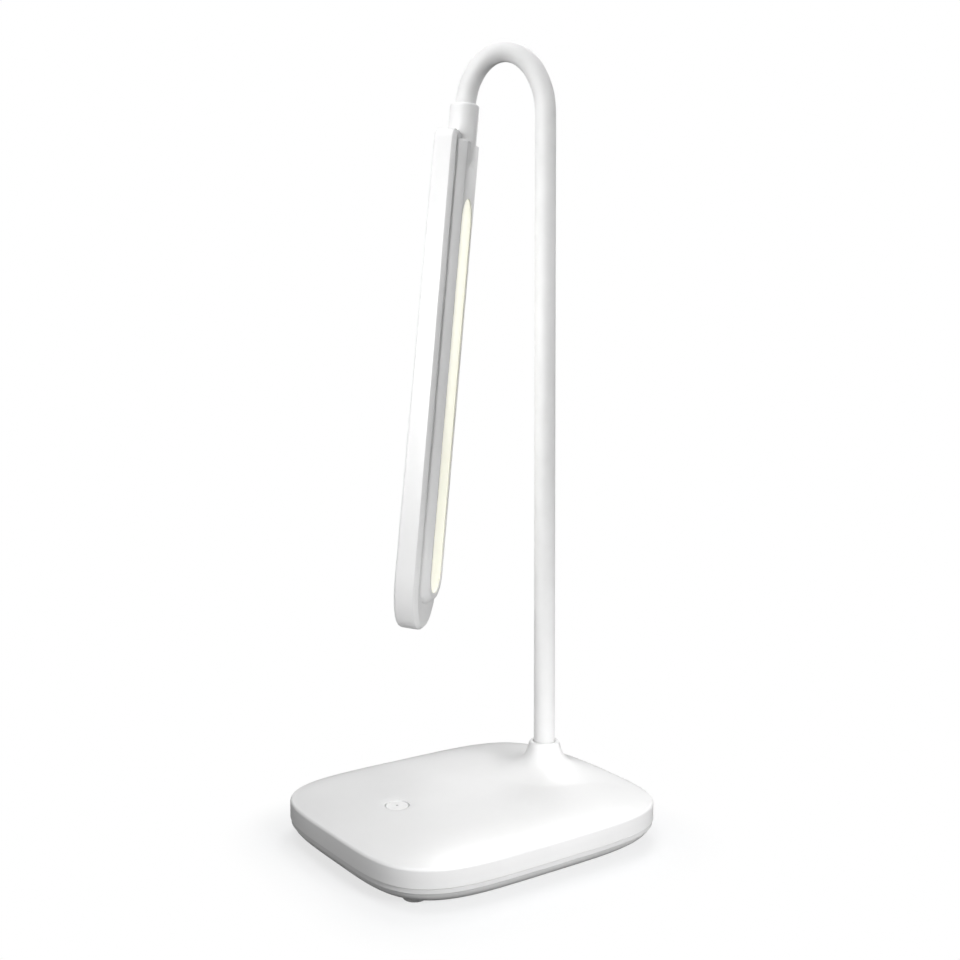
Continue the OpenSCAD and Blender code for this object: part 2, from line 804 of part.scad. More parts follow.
module back_form(wall) {
    r = max(0.4, back_round - wall);
    hull() {
        translate([0, 0, edge_z + (wall > 0 ? through : -skin)])
            linear_extrude(skin) polygon(head_outline(wall));
        for (a = [0, 30, 60, 90]) back_slice(r * (1 - cos(a)), wall + r * (1 - sin(a)), wall);
    }
}

module at_led_screws() {
    for (y = screw_y, s = [-1, 1]) translate([s * (light_w / 2 + screw2_out), y, 0]) children();
}

module head_back_cover() {
    color(white) at_head() difference() {
        union() {
            difference() {
                back_form(0);
                back_form(head_wall);
            }
            intersection() {
                union() {
                    // bosses for the light board and for the socket's ears
                    at_led_screws() translate([0, 0, -head_bottom])
                        cylinder(d = boss2_d, h = board2_z + head_bottom);
                    at_ears() translate([0, 0, -head_bottom]) cylinder(d = boss2_d, h = head_bottom);
                    // cradle that the socket lies in
                    translate([-socket_d / 2 - cradle_t, ear_y - cradle_back, edge_z - head_bottom])
                        cube([socket_d + 2 * cradle_t, cradle_t, head_bottom - cradle_depth]);
                }
                back_form(2 * seat);
            }
        }
        along_head(head_y0 - through, socket_d / 2 + seat, socket_in + through + seat);
        at_led_screws() translate([0, 0, board2_z - screw2_in - screw2_core])
            cylinder(d = screw2_d, h = side_tip);
        at_ears() translate([0, 0, -screw2_in - screw2_core]) cylinder(d = screw2_d, h = side_tip);
    }
}

// Outline of the raised block, drawn in by an inset
// Its wall is steep at the neck's end and slopes on the other three sides.
function block_outline(inset) = head_outline(inset, head_w / 2 - block_base,
    block_y0 - inset * block_steep, block_y1, block_tip, block_corner);

// Outline of the light opening, with a long rounded neck end
function light_outline(inset) = let (w = light_w / 2 - inset, y0 = light_y0 + inset,
    y1 = light_y1 - inset, n = w * 1.5, t = w * 1.2)
    concat([for (a = [0:10:180]) [w * cos(a), y1 - t + t * sin(a)]],
        [for (a = [180:10:360]) [w * cos(a), y0 + n + n * sin(a)]]);

module head_face_cover() {
    color(white) at_head() difference() {
        union() {
            hull() {
                translate([0, 0, edge_z + skin]) linear_extrude(skin) polygon(head_outline(0));
                translate([0, 0, flat_z - skin]) linear_extrude(skin)
                    polygon(head_outline(chamfer_run));
            }
            hull() {
                translate([0, 0, edge_z + through / 2]) linear_extrude(skin) polygon(block_outline(0));
                translate([0, 0, flat_z]) linear_extrude(skin) polygon(block_outline(0));
                translate([0, 0, face_z - skin]) linear_extrude(skin) polygon(block_outline(block_run));
            }
        }
        // room behind the face for the diffuser and the tray
        hull() {
            translate([0, 0, edge_z - through]) linear_extrude(skin)
                polygon(block_outline(room_inset));
            translate([0, 0, tray_z1 - block_wall]) linear_extrude(skin)
                polygon(block_outline(room_inset + block_run * room_slope));
        }
        translate([0, 0, edge_z - through]) linear_extrude(tray_z1 + diffuser_t - edge_z + through)
            polygon(light_outline(-diffuser_lap - seat));
        translate([0, 0, edge_z]) linear_extrude(2 * face_z) polygon(light_outline(0));
        socket_form(seat);
    }
}

module diffuser() {
    color(cream) at_head() translate([0, 0, tray_z1]) linear_extrude(diffuser_t - 2 * skin)
        polygon(light_outline(-diffuser_lap));
}

module reflector_tray() {
    color(silk) at_head() translate([0, 0, board2_z + board2_t]) difference() {
        linear_extrude(tray_h) polygon(light_outline(-diffuser_lap));
        translate([0, 0, -through]) linear_extrude(tray_h + 2 * through)
            polygon(light_outline(tray_wall - diffuser_lap));
    }
}

module led_board() {
    w = light_w / 2 + board2_over[0];
    color(board) at_head() difference() {
        translate([-w, board2_y[0], board2_z]) cube([2 * w, board2_y[1] - board2_y[0], board2_t]);
        at_led_screws() translate([0, 0, board2_z - through])
            cylinder(d = screw2_d + screw_gap, h = board2_t + 2 * through);
    }
}

module leds() {
    pitch = (light_y1 - light_y0 - 2 * led_end) / (led_count - 1);
    color("khaki") at_head() for (i = [0:led_count - 1])
        translate([-led_size[1] / 2, light_y0 + led_end + pitch * i - led_size[0] / 2,
                board2_z + board2_t])
            cube([led_size[1], led_size[0], led_size[2]]);
}

module led_board_screws() {
    color(steel) at_head() at_led_screws() {
        translate([0, 0, board2_z - screw2_in])
            cylinder(d = screw2_d, h = screw2_in + board2_t + screw2_head_h);
        translate([0, 0, board2_z + board2_t]) cylinder(d = screw2_head_d, h = screw2_head_h);
    }
}

// ---------- nodes ----------

base_top_cover();
base_bottom_cover();
foot_pads();
base_screws();
ballast_plate();
battery();
control_board();
board_screws();
push_switch();
charging_socket();
neck_bushing();
power_button();
button_lens();
neck_ferrule();
neck_washer();
neck_nut();
post_tube();
post_sleeve();
post_lead();
post_end_plug();
neck_link(1);  // neck_link_1
neck_link(2);  // neck_link_2
neck_link(3);  // neck_link_3
neck_link(4);  // neck_link_4
neck_link(5);  // neck_link_5
neck_link(6);  // neck_link_6
neck_link(7);  // neck_link_7
arch_sleeve();
socket_plug();
neck_socket();
socket_screws();
head_back_cover();
head_face_cover();
diffuser();
reflector_tray();
led_board();
leds();
led_board_screws();
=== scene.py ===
"""A folding desk lamp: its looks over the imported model, for Blender 4.5."""

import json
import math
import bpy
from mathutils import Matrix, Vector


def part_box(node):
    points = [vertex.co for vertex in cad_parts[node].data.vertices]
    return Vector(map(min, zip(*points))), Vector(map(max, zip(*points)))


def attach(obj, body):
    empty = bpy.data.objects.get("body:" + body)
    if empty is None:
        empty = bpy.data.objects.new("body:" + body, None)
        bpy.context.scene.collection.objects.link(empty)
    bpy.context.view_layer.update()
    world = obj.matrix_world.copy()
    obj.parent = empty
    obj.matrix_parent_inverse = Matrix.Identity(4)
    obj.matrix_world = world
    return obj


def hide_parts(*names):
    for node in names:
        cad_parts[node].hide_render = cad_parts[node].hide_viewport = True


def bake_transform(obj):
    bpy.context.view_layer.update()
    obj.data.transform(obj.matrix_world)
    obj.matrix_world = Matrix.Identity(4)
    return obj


bl_info = {
    "name": "Folding desk lamp",
    "version": (1, 0, 0),
    "blender": (4, 5, 0),
    "location": "View3D > Sidebar > Lamp",
    "description": "Builds the covers, sleeve, head and finishes of a folding desk lamp",
    "category": "Object",
}

import bmesh
import bpy
from mathutils import Matrix, Vector

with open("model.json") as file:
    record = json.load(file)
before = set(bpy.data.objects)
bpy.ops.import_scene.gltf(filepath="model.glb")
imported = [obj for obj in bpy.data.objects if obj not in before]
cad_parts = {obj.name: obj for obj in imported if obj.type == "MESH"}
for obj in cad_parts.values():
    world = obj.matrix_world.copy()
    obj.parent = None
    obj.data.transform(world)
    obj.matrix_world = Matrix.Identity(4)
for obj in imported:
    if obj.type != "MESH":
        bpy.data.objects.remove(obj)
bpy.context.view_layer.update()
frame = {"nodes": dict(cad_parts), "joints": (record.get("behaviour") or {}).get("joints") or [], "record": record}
MM = 0.001

# ---------- sizes that the pieces share, as in the solid model ----------

# the upright post's place in metres, the direction of the bend's hinges, and the head's lean about it
POST = Vector((0.0, 0.0473, 0.0))
YAW = math.radians(-52.0)
LEAN = math.radians(5.2)

# the base's covers, in millimetres
SEAM_Z = 11.0
SIDE_H = 8.8
WALL = 2.2
PAN_Z = 2.2

# the boss that holds the post, and the recess for the bushing under it, in millimetres
BOSS_R = 7.9
BORE_R = 5.8
BOSS_WALL_R = 12.0
BOSS_UNDER = 15.0
BUSHING_R = 9.0
BUSHING_TOP = 24.4

# how late the crown falls towards the edge
CROWN_POWER = 6

# the flare that rises from the crown to the boss: how far out it has lost half its height, the
# slope that it keeps, the fillet where it meets the crown, and how late it ends; in millimetres
FLARE_REACH = 2.5
FLARE_SLOPE = 0.087
FLARE_FILLET = 0.8
FLARE_POWER = 3

# the hole for the button, then the dish round it: the level ring beside the cap, the slope from
# there out to the crown, and the depth; in millimetres
BUTTON_HOLE_R = 6.1
DISH_R = 6.2
DISH_RUN = 2.7
DISH_DEPTH = 0.6

# the charging socket's mouth in the back wall, in millimetres
MOUTH_R = 1.9
MOUTH_HALF = 2.9
MOUTH_Y = 81.4
MOUTH_Z = 15.4
MOUTH_DEEP = 12.0


def joint_points():
    """The bend's joints in order, in metres."""
    rows = [j for j in frame["joints"] if j["name"].startswith("neck_bend")]
    return [Vector(j["pos_m"]) for j in sorted(rows, key=lambda j: j["name"])]


# ---------- mesh helpers ----------


def piece_from(bm, name, body, slot, node=None, finish=None, smooth_angle=35.0):
    """Turns a bmesh into a finished piece on a body, in its slot's finish unless another is given."""
    bmesh.ops.recalc_face_normals(bm, faces=bm.faces[:])
    for face in bm.faces:
        face.smooth = True
    for edge in bm.edges:
        if len(edge.link_faces) == 2:
            edge.smooth = edge.calc_face_angle(0.0) < math.radians(smooth_angle)
    mesh = bpy.data.meshes.new(name)
    bm.to_mesh(mesh)
    bm.free()
    mesh.materials.append(finish_of(finish or slot))
    piece = bpy.data.objects.new(name, mesh)
    bpy.context.scene.collection.objects.link(piece)
    if node:
        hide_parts(node)
    if body:
        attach(piece, body)
    return piece


def copied_bmesh(node):
    """A CAD node's mesh, with its loose triangles joined."""
    same_place = 2e-6
    same_plane = math.radians(0.3)
    bm = bmesh.new()
    bm.from_mesh(frame["nodes"][node].data)
    bmesh.ops.remove_doubles(bm, verts=bm.verts[:], dist=same_place)
    bmesh.ops.dissolve_limit(
        bm, angle_limit=same_plane, verts=bm.verts[:], edges=bm.edges[:]
    )
    return bm


def ease_edges(bm, width, above, segments=2):
    """Rounds the edges over an angle in degrees, as a mould leaves them; the width is in millimetres."""
    hard = [
        e
        for e in bm.edges
        if len(e.link_faces) == 2 and e.calc_face_angle(0.0) > math.radians(above)
    ]
    bmesh.ops.bevel(
        bm,
        geom=hard,
        offset=width * MM,
        offset_type="OFFSET",
        segments=segments,
        profile=0.5,
        affect="EDGES",
        material=-1,
        clamp_overlap=True,
    )


def whole_turn(count):
    """Directions evenly round a circle."""
    return [2 * math.pi * i / count for i in range(count)]


def radians(*degrees):
    """Angles in degrees as radians."""
    return [math.radians(d) for d in degrees]


def ordered_circle(bm, count, capped):
    """A new circle's vertices in the order of their directions."""
    made = bmesh.ops.create_circle(bm, cap_ends=capped, segments=count, radius=1.0)
    return sorted(
        made["verts"], key=lambda v: math.atan2(v.co.y, v.co.x) % (2 * math.pi)
    )


def ring_edges(bm, ring):
    """The edges that join a ring's vertices."""
    return [bm.edges.get(pair) for pair in zip(ring, ring[1:] + ring[:1])]


def extrude_ring(bm, ring, places):
    """Extrudes a ring and puts its new vertices at the places, in the ring's own order."""
    made = bmesh.ops.extrude_edge_only(bm, edges=ring_edges(bm, ring))["geom"]
    fresh = {v for v in made if isinstance(v, bmesh.types.BMVert)}
    # one edge leads from each new vertex back to the old one that it came from
    partner = {}
    for v in fresh:
        for edge in v.link_edges:
            if edge.other_vert(v) not in fresh:
                partner[edge.other_vert(v)] = v
    after = [partner[v] for v in ring]
    for v, place in zip(after, places):
        v.co = place
    return after


def skin(rings, closed=True):
    """A surface through rings of places: joined from last to first, or capped at both ends."""
    bm = bmesh.new()
    first = ring = ordered_circle(bm, len(rings[0]), capped=not closed)
    for v, place in zip(ring, rings[0]):
        v.co = place
    for places in rings[1:]:
        ring = extrude_ring(bm, ring, places)
    if closed:
        bmesh.ops.bridge_loops(bm, edges=ring_edges(bm, ring) + ring_edges(bm, first))
    else:
        bmesh.ops.contextual_create(bm, geom=ring_edges(bm, ring))
    return bm


def carve(piece, cut):
    """Takes a cutter's solid out of a piece."""
    mesh = bpy.data.meshes.new("cutter")
    cut.to_mesh(mesh)
    cut.free()
    cutter = bpy.data.objects.new("cutter", mesh)
    bpy.context.scene.collection.objects.link(cutter)
    step = piece.modifiers.new("Cut", "BOOLEAN")
    step.operation = "DIFFERENCE"
    step.solver = "EXACT"
    step.use_self = True
    step.object = cutter
    bpy.context.view_layer.update()
    done = piece.evaluated_get(bpy.context.evaluated_depsgraph_get())
    result = bpy.data.meshes.new_from_object(done)
    piece.modifiers.remove(step)
    piece.data = result
    bpy.data.objects.remove(cutter)


# ---------- the base's form, in millimetres from its centre ----------


def half_sizes(size, inset=0.0):
    """Half the base's width and depth, less an inset."""
    return size.width / MM / 2 - inset, size.depth / MM / 2 - inset


def out_of_centre(x, y, a, b, power):
    """How far out a point is: 1 on the rounded rectangle with the half sizes a and b."""
    return (abs(x / a) ** power + abs(y / b) ** power) ** (1 / power)


def base_outline(angle, inset, size):
    """A point of the base's outline, seen from its centre."""
    c, s = math.cos(angle), math.sin(angle)
    r = out_of_centre(c, s, *half_sizes(size, inset), size.squareness)
    return c / r, s / r


def beside_post(turn, r):
    """The point in a direction and at a distance from the post."""
    return POST.x / MM + r * math.cos(turn), POST.y / MM + r * math.sin(turn)


def reach(turn, inset, size):
    """Distance from the post to the base's outline in a direction, found by halving."""
    a, b = half_sizes(size, inset)
    near, far = 5.0, 200.0
    for _ in range(40):
        middle = (near + far) / 2
        if out_of_centre(*beside_post(turn, middle), a, b, size.squareness) < 1:
            near = middle
        else:
            far = middle
    return near


def crown_height(x, y, size):
    """Height of the crowned top without the flare and the dish."""
    r = min(1.0, out_of_centre(x, y, *half_sizes(size), size.squareness))
    return SEAM_Z + SIDE_H + size.crown / MM * (1 - r**CROWN_POWER)


def flare_height(r, size):
    """Height of the concave flare at a distance from the post."""
    plateau = SEAM_Z + SIDE_H + size.crown / MM
    rise = size.boss_top / MM - plateau
    out = r - BOSS_R
    return plateau + rise * FLARE_REACH / (out + FLARE_REACH) - FLARE_SLOPE * out


def soft_max(a, b, blend):
    """The larger of two heights, with a fillet where they meet."""
    d = a - b
    return (a + b + math.sqrt(d * d + blend * blend)) / 2 - blend / 2 * math.exp(
        -abs(d) / (2 * blend)
    )


def top_height(x, y, far, size):
    """Height of the top at a point, far being its share of the way from the boss to the edge."""
    crown = crown_height(x, y, size)
    flare = flare_height(math.hypot(x, y - POST.y / MM), size)
    lift = soft_max(flare, crown, FLARE_FILLET) - crown
    high = crown + lift * (1 - far**FLARE_POWER)
    # the dish round the button: level beside the cap, then rising to the crown
    out = (math.hypot(x, y + size.button_y / MM) - DISH_R) / DISH_RUN
    rise = min(1.0, max(0.0, out))
    return high - DISH_DEPTH * (1 - rise * rise * (3 - 2 * rise))


# ---------- finishes ----------


def make_finish(name, colour, rough, metallic=0.0):
    """A plain material, with its node tree, shader and object coordinates."""
    finish = bpy.data.materials.new(name)
    finish.use_nodes = True
    tree = finish.node_tree
    shader = tree.nodes["Principled BSDF"]
    shader.inputs["Base Color"].default_value = (*colour, 1)
    shader.inputs["Roughness"].default_value = rough
    shader.inputs["Metallic"].default_value = metallic
    place = tree.nodes.new("ShaderNodeTexCoord")
    return finish, tree, shader, place.outputs["Object"]


def speckle(tree, place, scale, detail=4.0, stretch=(1, 1, 1)):
    """A noise pattern, drawn out along one direction where stretch says so."""
    spread = tree.nodes.new("ShaderNodeMapping")
    spread.inputs["Scale"].default_value = stretch
    grain = tree.nodes.new("ShaderNodeTexNoise")
    grain.inputs["Scale"].default_value = scale
    grain.inputs["Detail"].default_value = detail
    tree.links.new(place, spread.inputs["Vector"])
    tree.links.new(spread.outputs["Vector"], grain.inputs["Vector"])
    return grain.outputs["Fac"]


def tint(tree, fac, colour, low, high, shader):
    """Varies the colour between two factors of it."""
    start, stop = 0.3, 0.7
    ramp = tree.nodes.new("ShaderNodeValToRGB")
    for mark, position, factor in zip(ramp.color_ramp.elements, (start, stop), (low, high)):
        mark.position = position
        mark.color = (*scaled(colour, factor), 1)
    tree.links.new(fac, ramp.inputs["Fac"])
    tree.links.new(ramp.outputs["Color"], shader.inputs["Base Color"])


def sheen(tree, fac, low, high, shader):
    """Varies the roughness between two values."""
    ranged = tree.nodes.new("ShaderNodeMapRange")
    ranged.inputs["To Min"].default_value = low
    ranged.inputs["To Max"].default_value = high
    tree.links.new(fac, ranged.inputs["Value"])
    tree.links.new(ranged.outputs["Result"], shader.inputs["Roughness"])


def relief(tree, fac, strength, depth, shader):
    """A faint relief, its depth in metres."""
    bump = tree.nodes.new("ShaderNodeBump")
    bump.inputs["Strength"].default_value = strength
    bump.inputs["Distance"].default_value = depth
    tree.links.new(fac, bump.inputs["Height"])
    tree.links.new(bump.outputs["Normal"], shader.inputs["Normal"])


def scaled(colour, factor):
    """A colour made lighter or darker."""
    return tuple(min(1.0, c * factor) for c in colour[:3])


def grained(name, colour, rough, clouds, shades, grain, swing, dents):
    """A finish with a clouded colour and, from a finer grain, an uneven sheen and a faint relief.

    clouds holds the clouds' scale and detail, shades the colour's two factors, grain the
    grain's scale, swing how far the roughness goes down and up, and dents the relief's
    strength and depth.
    """
    finish, tree, shader, place = make_finish(name, colour[:3], rough)
    tint(tree, speckle(tree, place, *clouds), colour, *shades, shader)
    fine = speckle(tree, place, grain, 2.0)
    sheen(tree, fine, rough - swing[0], rough + swing[1], shader)
    relief(tree, fine, *dents, shader)
    return finish, shader


def moulded(name, colour, rough, gloss=0.25):
    """A moulded plastic: a very fine grain, faint clouding and an uneven sheen."""
    finish, shader = grained(
        name, colour, rough, clouds=(26.0, 3.0), shades=(0.975, 1.01),
        grain=1400.0, swing=(0.05, 0.07), dents=(0.25, 0.00003),
    )
    shader.inputs["Coat Weight"].default_value = gloss
    shader.inputs["Coat Roughness"].default_value = 0.25
    return finish


def soft_rubber(name, colour, rough=0.55):
    """A matt rubber or soft plastic."""
    finish, shader = grained(
        name, colour, rough, clouds=(60.0, 4.0), shades=(0.96, 1.01),
        grain=2200.0, swing=(0.06, 0.08), dents=(0.2, 0.00002),
    )
    shader.inputs["Sheen Weight"].default_value = 0.08
    return finish


def opal(name, colour):
    """The diffuser: a warm, milky sheet with a fine frosting."""
    finish, shader = grained(
        name, colour, 0.32, clouds=(40.0, 2.0), shades=(0.985, 1.0),
        grain=3200.0, swing=(0.06, 0.1), dents=(0.15, 0.00002),
    )
    shader.inputs["Subsurface Weight"].default_value = 0.15
    shader.inputs["Subsurface Radius"].default_value = (0.004, 0.004, 0.003)
    shader.inputs["Emission Color"].default_value = (*colour[:3], 1)
    shader.inputs["Emission Strength"].default_value = 0.42
    return finish


def metal(name, colour, rough, stretch, scale=900.0):
    """A metal with fine marks drawn out along one direction."""
    finish, tree, shader, place = make_finish(name, colour[:3], rough, metallic=1.0)
    marks = speckle(tree, place, scale, 6.0, stretch)
    tint(tree, marks, colour, 0.82, 1.08, shader)
    sheen(tree, marks, rough - 0.08, rough + 0.14, shader)
    relief(tree, marks, 0.2, 0.00003, shader)
    return finish


def lacquered_board(name, colour):
    """A circuit board: lacquer over a fine pattern of tracks."""
    finish, tree, shader, place = make_finish(name, colour[:3], 0.3)
    tracks = tree.nodes.new("ShaderNodeTexBrick")
    tracks.inputs["Scale"].default_value = 260.0
    tracks.inputs["Mortar Size"].default_value = 0.06
    tracks.inputs["Color1"].default_value = (*colour[:3], 1)
    tracks.inputs["Color2"].default_value = (*scaled(colour, 1.25), 1)
    tracks.inputs["Mortar"].default_value = (*scaled(colour, 0.7), 1)
    tree.links.new(place, tracks.inputs["Vector"])
    tree.links.new(tracks.outputs["Color"], shader.inputs["Base Color"])
    sheen(tree, speckle(tree, place, 700.0), 0.24, 0.4, shader)
    shader.inputs["Coat Weight"].default_value = 0.5
    return finish


def finish_table():
    """For each slot the function that makes its finish, the finish's name and its values."""
    look = bpy.context.scene.lamp_finish
    return {
        "white_cover": (moulded, "White Cover", look.cover, look.cover_roughness),
        # the lower cover's finish is darker than the covers' white: painted shade where the base's side curves in
        # under the top
        "white_under": (moulded, "White Underside", look.underside, 0.42),
        "soft_sleeve": (soft_rubber, "Soft Sleeve", look.sleeve),
        "foot_rubber": (soft_rubber, "Foot Rubber", look.feet, 0.7),
        "plated_steel": (metal, "Plated Steel", (0.72, 0.72, 0.74), 0.3, (1, 1, 0.2)),
        "ballast_steel": (metal, "Ballast Steel", (0.42, 0.42, 0.44), 0.5, (0.15, 1, 1), 300.0),
        "brass_bushing": (metal, "Turned Brass", (0.78, 0.62, 0.32), 0.3, (1, 1, 6)),
        "circuit_board": (lacquered_board, "Circuit Board", (0.03, 0.16, 0.08)),
        "switch_black": (moulded, "Switch Black", (0.02, 0.02, 0.02), 0.45),
        "cell_wrap": (moulded, "Cell Wrap", (0.35, 0.4, 0.46), 0.3),
        "lead_grey": (soft_rubber, "Lead Insulation", (0.25, 0.25, 0.25)),
        "lens_grey": (moulded, "Button Lens", look.lens, 0.25, 0.6),
        # the button's cap is the covers' plastic, made whiter as a painted highlight for the light that its flat
        # top mirrors
        "button_white": (moulded, "Button White", look.button, 0.3),
        "diffuser_opal": (opal, "Opal Diffuser", look.diffuser),
        "reflector_white": (moulded, "Reflector White", (0.92, 0.92, 0.92), 0.25),
        "led_yellow": (moulded, "LED Phosphor", (0.9, 0.75, 0.25), 0.4),
    }


def finish_of(slot):
    """The finish that was made for a slot."""
    return bpy.data.materials[finish_table()[slot][1]]


# ---------- what a user would change ----------


def length_value(name, description, default):
    """A property that is a length in metres."""
    return bpy.props.FloatProperty(
        name=name, description=description, default=default, unit="LENGTH"
    )


def share_value(name, description, default):
    """A property between 0 and 1."""
    return bpy.props.FloatProperty(
        name=name, description=description, default=default, subtype="FACTOR"
    )


def power_value(name, description, default):
    """A property that is a light's power in watts."""
    return bpy.props.FloatProperty(
        name=name, description=description, default=default, unit="POWER"
    )


def colour_value(name, description, default):
    """A property that is a colour."""
    return bpy.props.FloatVectorProperty(
        name=name, description=description, default=default, subtype="COLOR"
    )


class LampBaseSize(bpy.types.PropertyGroup):
    width: length_value("Width", "Base, left to right", 0.1396)
    depth: length_value("Depth", "Base, front to back", 0.1628)
    squareness: bpy.props.FloatProperty(
        name="Squareness", description="How square the rounded outline is", default=4.3
    )
    crown: length_value("Crown", "Rise of the top above its side", 0.0059)
    boss_top: length_value("Boss top", "Height of the post's boss", 0.0406)
    button_y: length_value("Button place", "Distance in front of the centre", 0.044)


class LampSleeveSize(bpy.types.PropertyGroup):
    diameter: length_value("Diameter", "Outside of the neck's sleeve", 0.011)
    wall: length_value("Wall", "Thickness of the sleeve on the bend", 0.0008)
    smoothness: bpy.props.IntProperty(
        name="Sides", description="Faces round the sleeve", default=64, min=16
    )


class LampButtonSize(bpy.types.PropertyGroup):
    edge: length_value("Edge", "Rounding of the button's edge", 0.0003)


class LampHeadSize(bpy.types.PropertyGroup):
    edge: length_value("Edge", "Rounding of the head's hard edges", 0.0004)


class LampFinish(bpy.types.PropertyGroup):
    cover: colour_value("Cover", "Colour of the covers", (0.86, 0.86, 0.86))
    cover_roughness: share_value("Cover roughness", "Roughness of the covers", 0.36)
    # the lower cover's colour is darker than the cover's as painted shade under the base
    underside: colour_value("Underside", "Colour of the lower cover", (0.74, 0.74, 0.74))
    sleeve: colour_value("Sleeve", "Colour of the neck's sleeve", (0.85, 0.85, 0.85))
    feet: colour_value("Feet", "Colour of the foot pads", (0.45, 0.45, 0.45))
    # the cap's colour is whiter than the cover's as a painted highlight, standing in for the light its flat top
    # mirrors
    button: colour_value("Button", "Colour of the button's cap", (0.97, 0.97, 0.97))
    lens: colour_value("Lens", "Colour of the button's lens", (0.45, 0.45, 0.45))
    diffuser: colour_value("Diffuser", "Colour of the light's sheet", (0.96, 0.95, 0.82))


class LampStage(bpy.types.PropertyGroup):
    overhead: power_value("Overhead", "Soft light from above", 3.2)
    high_back: power_value("High back", "Soft light from above and behind", 3.2)
    front: power_value("Front", "Beam from the front on post and head", 0.28)
    left: power_value("Left", "Beam from the left on post and head", 0.13)
    side: power_value("Side", "Beam on the base's right wall", 0.22)
    back_side: power_value("Back side", "Beam on the right of post and head", 0.21)
    ambient: bpy.props.FloatProperty(
        name="Ambient", description="Even light from all round", default=0.03
    )
    floor_bounce: share_value("Bounce", "Light that the floor throws back", 0.2)
    floor_light: share_value("Floor", "How plain white the floor looks", 0.72)


# ---------- operators ----------


class LAMP_OT_camera(bpy.types.Operator):
    """Places the camera at the photograph's viewing angle"""

    bl_idname = "lamp.camera"
    bl_label = "Camera"

    def execute(self, context):
        data = bpy.data.cameras.new("Camera")
        data.sensor_width = 36.0
        data.lens = 44.10318
        data.shift_x = 0.00847
        data.shift_y = -0.065
        data.clip_start = 0.01
        camera = bpy.data.objects.new("Camera", data)
        camera.location = (0.4816558, -0.3394748, 0.23269641)
        # the turn from +Y and the pitch below level, in radians
        turn, pitch = 0.95631, 0.03453
        ahead = Vector(
            (
                -math.sin(turn) * math.cos(pitch),
                math.cos(turn) * math.cos(pitch),
                -math.sin(pitch),
            )
        )
        camera.rotation_mode = "QUATERNION"
        camera.rotation_quaternion = ahead.to_track_quat("-Z", "Y")
        context.scene.collection.objects.link(camera)
        context.scene.camera = camera
        return {"FINISHED"}


class LAMP_OT_finishes(bpy.types.Operator):
    """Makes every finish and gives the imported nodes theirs"""

    bl_idname = "lamp.finishes"
    bl_label = "Finishes"

    def execute(self, context):
        made = {}
        for slot, (maker, *values) in finish_table().items():
            made[slot] = maker(*values)
        slots = {s["node"]: s["material_slot"] for s in frame["record"]["subparts"]}
        for name, node in frame["nodes"].items():
            for entry in node.material_slots:
                entry.material = made[slots[name]]
        return {"FINISHED"}


def top_cover_rows(turns, size):
    """The top cover's section as rows of (distance from the post, height), one pair for each turn.

    The section starts in the post's bore, goes over the boss, the top and the outer wall,
    and comes back under the top to the bushing's recess.
    """
    bore_ease = 0.5
    boss_ease = 1.0
    edge_ease = 1.6
    # the rounding of the edge is slightly lower than it is wide
    edge_flatness = 0.95
    # rows on the top, closer together near the boss
    top_rows, spacing = 64, 1.6
    wall_middle = 15.0
    groove_in, groove_h = 0.6, 0.4
    # the underside follows the crown of a slightly larger outline
    under_growth = 1.03
    outer = [reach(turn, 0.0, size) for turn in turns]
    inner = [reach(turn, WALL, size) for turn in turns]
    boss = size.boss_top / MM

    def circle(r, z):
        return [(r, z)] * len(turns)

    def level(radii, z):
        return [(r, z) for r in radii]

    def height_at(turn, r, edge):
        far = (r - BOSS_R) / (edge - BOSS_R)
        return top_height(*beside_post(turn, r), far, size)

    def top_row(share):
        row = []
        for turn, edge in zip(turns, outer):
            r = BOSS_R + (edge - edge_ease - BOSS_R) * share
            row.append((r, min(height_at(turn, r, edge), boss - boss_ease)))
        return row

    def edge_row(down):
        row = []
        for turn, edge in zip(turns, outer):
            r = edge - edge_ease
            high = height_at(turn, r, edge)
            low = high - edge_ease * edge_flatness
            row.append((r + edge_ease * math.sin(down), low + (high - low) * math.cos(down)))
        return row

    def under_row(share):
        row = []
        for turn, edge in zip(turns, inner):
            r = BOSS_WALL_R + (edge - BOSS_WALL_R) * share
            x, y = beside_post(turn, r)
            row.append((r, crown_height(x * under_growth, y * under_growth, size) - WALL))
        return row

    rows = [circle(BORE_R, BUSHING_TOP)]
    for k in radians(0, 45, 90):
        rows.append(circle(BORE_R + bore_ease * (1 - math.cos(k)), boss - bore_ease * (1 - math.sin(k))))
    for k in radians(90, 60, 30, 0):
        rows.append(circle(BOSS_R - boss_ease * (1 - math.cos(k)), boss - boss_ease * (1 - math.sin(k))))
    rows += [top_row((j / top_rows) ** spacing) for j in range(1, top_rows + 1)]
    rows += [edge_row(k) for k in radians(18, 36, 54, 72, 90)]
    rows += [level(outer, wall_middle), level(outer, SEAM_Z + groove_h)]
    rows.append(level([r - groove_in for r in outer], SEAM_Z))
    rows += [level(inner, SEAM_Z), level(inner, SEAM_Z + SIDE_H - WALL)]
    rows += [under_row(share) for share in (0.97, 0.92, 0.84, 0.7, 0.5, 0.25, 0.0)]
    rows += [circle(BOSS_WALL_R, BOSS_UNDER), circle(BUSHING_R, BOSS_UNDER)]
    rows.append(circle(BUSHING_R, BUSHING_TOP))
    return rows


def cylinder_cutter(cut, sides, radius, depth, matrix):
    """Adds a cylinder to a cutter, its radius and depth in millimetres."""
    bmesh.ops.create_cone(
        cut, cap_ends=True, segments=sides, radius1=radius * MM, radius2=radius * MM,
        depth=depth * MM, matrix=matrix,
    )


